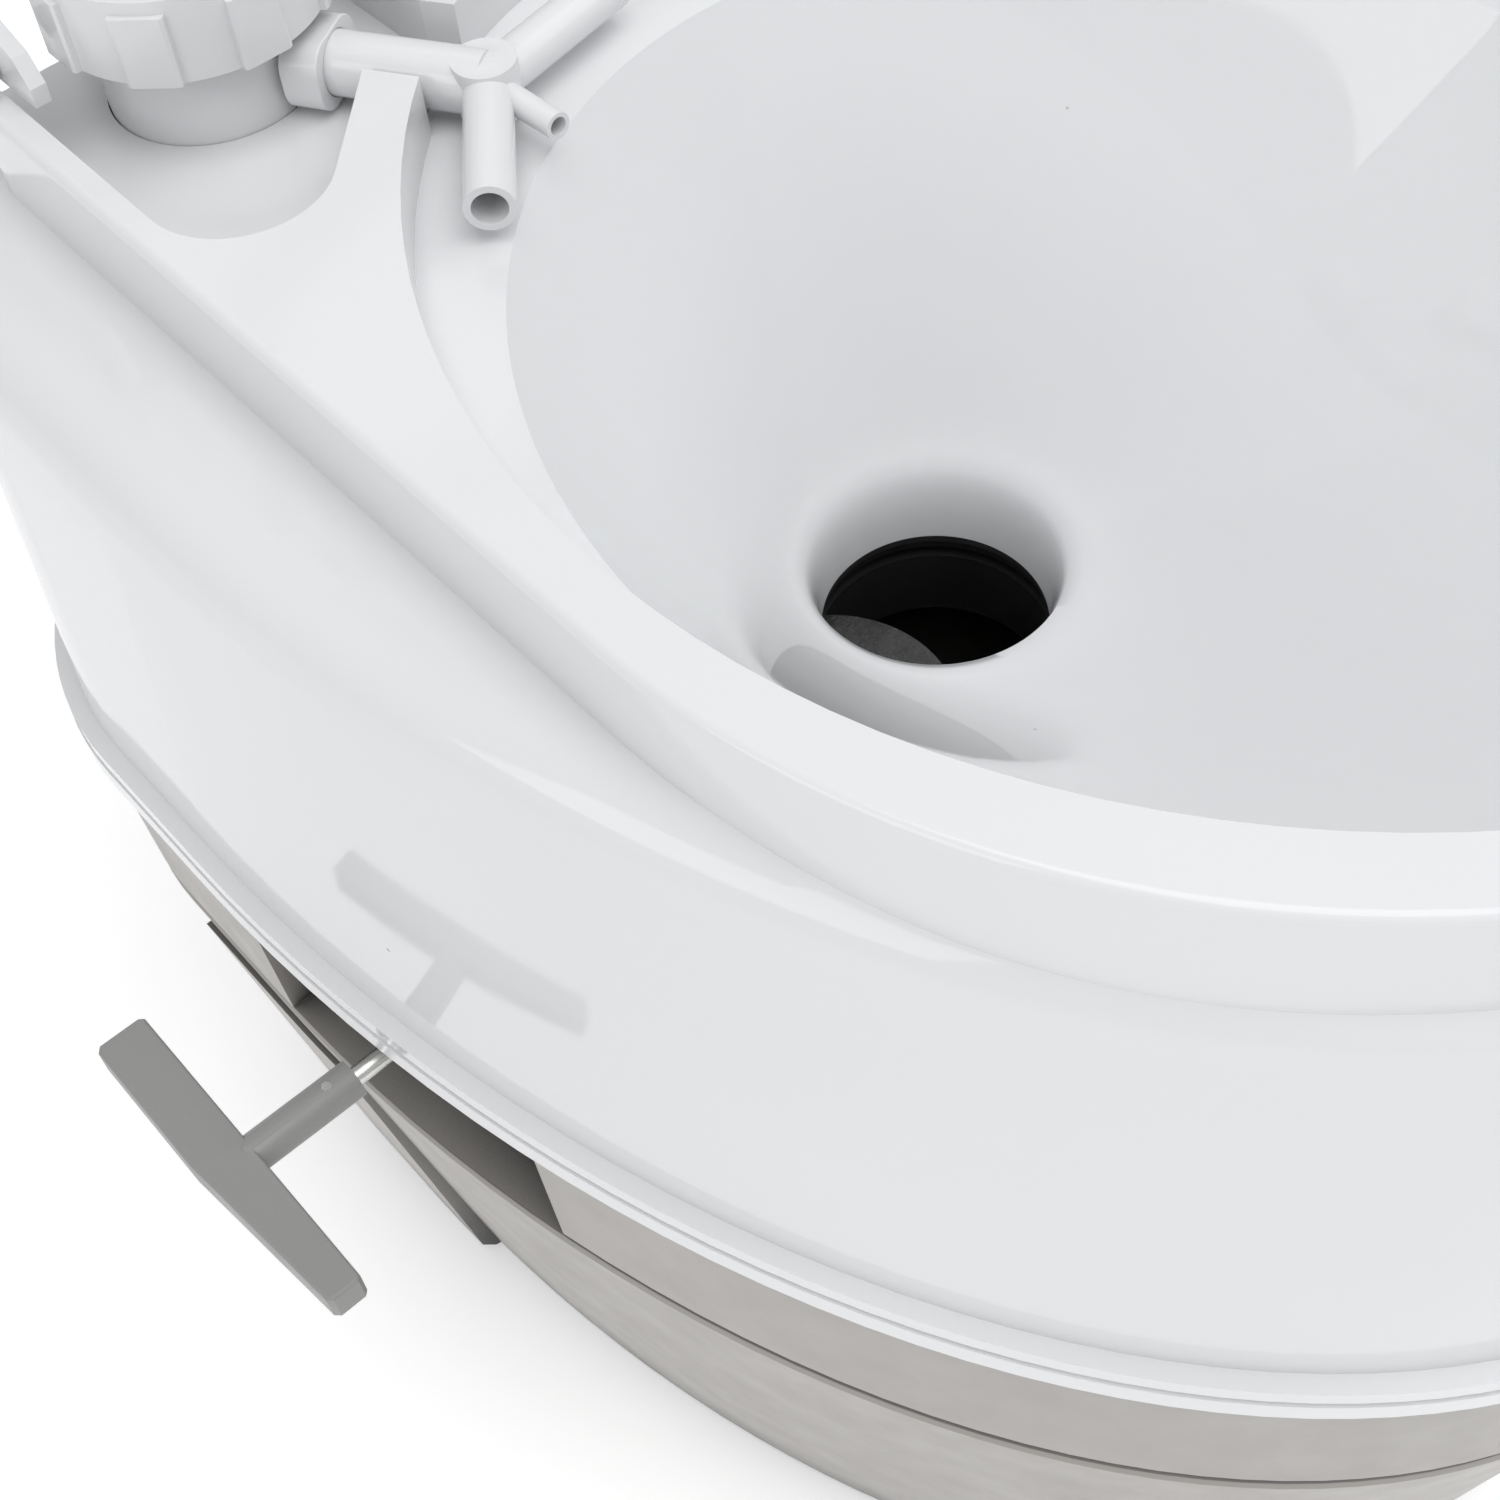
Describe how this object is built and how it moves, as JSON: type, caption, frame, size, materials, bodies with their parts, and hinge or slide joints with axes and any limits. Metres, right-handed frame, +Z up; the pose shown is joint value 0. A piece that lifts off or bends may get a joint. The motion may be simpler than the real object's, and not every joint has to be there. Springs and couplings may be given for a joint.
{
  "type": "portable toilet",
  "caption": "Portable toilet with flush unit, bowl, pump, nozzle, seat and lid, standing on a holding tank whose pull handle slides the waste valve",
  "frame": {"origin": "on the floor, straight under the middle of the drain", "axes": "+Z up, +X to the right seen from the front, front of the toilet towards -Y"},
  "size_m": [0.4047, 0.5161, 0.7182],
  "materials": {
    "white_shell": "moulded white plastic, soft gloss",
    "bowl_white": "smooth glossy bowl lining",
    "tank_grey": "warm grey moulded plastic, satin",
    "handle_grey": "mid grey plastic, satin",
    "inner_grey": "grey working parts, satin",
    "blade_black": "black greased shutter, wet gloss",
    "seal_rubber": "dark rubber",
    "bright_steel": "polished stainless rod and pins",
    "clear_window": "clear plastic strip"
  },
  "bodies": {
    "unit": {"upper_shell": "white_shell", "bowl": "bowl_white", "flush_tank_floor": "white_shell", "pump_barrel": "white_shell", "barrel_bush": "white_shell", "foot_valve": "inner_grey", "intake_pipe": "inner_grey", "flush_nozzle": "white_shell", "outlet_connector": "white_shell", "fill_neck": "white_shell", "waste_tank": "tank_grey", "rubber_foot_rear_left": "seal_rubber", "rubber_foot_rear_right": "seal_rubber", "rubber_foot_front_left": "seal_rubber", "rubber_foot_front_right": "seal_rubber", "level_window": "clear_window", "valve_cover": "inner_grey", "valve_base": "inner_grey", "valve_screws": "bright_steel", "valve_lip_seal": "seal_rubber", "rod_gland": "inner_grey", "vent_bezel": "handle_grey", "latch_bracket": "handle_grey", "latch_pin": "bright_steel", "hinge_post_left": "white_shell", "hinge_post_right": "white_shell", "hinge_pin_left": "inner_grey", "hinge_pin_right": "inner_grey"},
    "slide_valve": {"valve_blade": "blade_black", "pull_rod": "bright_steel", "pull_handle": "handle_grey", "handle_pin": "bright_steel"},
    "pump": {"pump_knob": "white_shell", "pump_rod": "inner_grey", "pump_piston": "inner_grey", "piston_seal": "seal_rubber"},
    "lid_body": {"lid": "white_shell", "lid_bumpers": "seal_rubber"},
    "seat_body": {"seat": "white_shell", "seat_bumpers": "seal_rubber"},
    "fill_cap_body": {"fill_cap": "white_shell", "fill_gasket": "seal_rubber"},
    "spout_body": {"spout": "tank_grey", "spout_gasket": "seal_rubber"},
    "spout_cap_body": {"spout_cap": "handle_grey"},
    "vent_body": {"vent_button": "handle_grey", "vent_seal": "seal_rubber"},
    "latch_body": {"rear_latch": "handle_grey"}
  },
  "joints": [
    {"name": "valve_slide", "type": "slide", "parent": "unit", "child": "slide_valve", "axis": [1, 0, 0], "range_m": [-0.027, 0.038]},
    {"name": "pump_stroke", "type": "slide", "parent": "unit", "child": "pump", "axis": [0, 0, 1], "range_m": [0, 0.03]},
    {"name": "lid_swing", "type": "hinge", "parent": "unit", "child": "lid_body", "pos_m": [0, 0.15, 0.3665], "axis": [1, 0, 0], "range_deg": [0, 106]},
    {"name": "seat_swing", "type": "hinge", "parent": "lid_body", "child": "seat_body", "pos_m": [0, 0.15, 0.3665], "axis": [-1, 0, 0], "range_deg": [-106, 0]},
    {"name": "fill_turn", "type": "hinge", "parent": "unit", "child": "fill_cap_body", "pos_m": [0.0873, 0.135, 0.36], "axis": [0, 0, 1], "range_deg": [0, 90]},
    {"name": "spout_turn", "type": "hinge", "parent": "unit", "child": "spout_body", "pos_m": [0.051, 0.118, 0.161], "axis": [0, 0, 1], "range_deg": [0, 90]},
    {"name": "cap_turn", "type": "hinge", "parent": "spout_body", "child": "spout_cap_body", "pos_m": [0.143, 0.118, 0.161], "axis": [1, 0, 0], "range_deg": [0, 90]},
    {"name": "vent_press", "type": "slide", "parent": "unit", "child": "vent_body", "axis": [0, -1, 0], "range_m": [0, 0.003], "stiffness_N_per_m": 800, "springref_m": -0.002},
    {"name": "latch_turn", "type": "hinge", "parent": "unit", "child": "latch_body", "pos_m": [0, 0.1895, 0.159], "axis": [-1, 0, 0], "range_deg": [0, 95]}
  ]
}
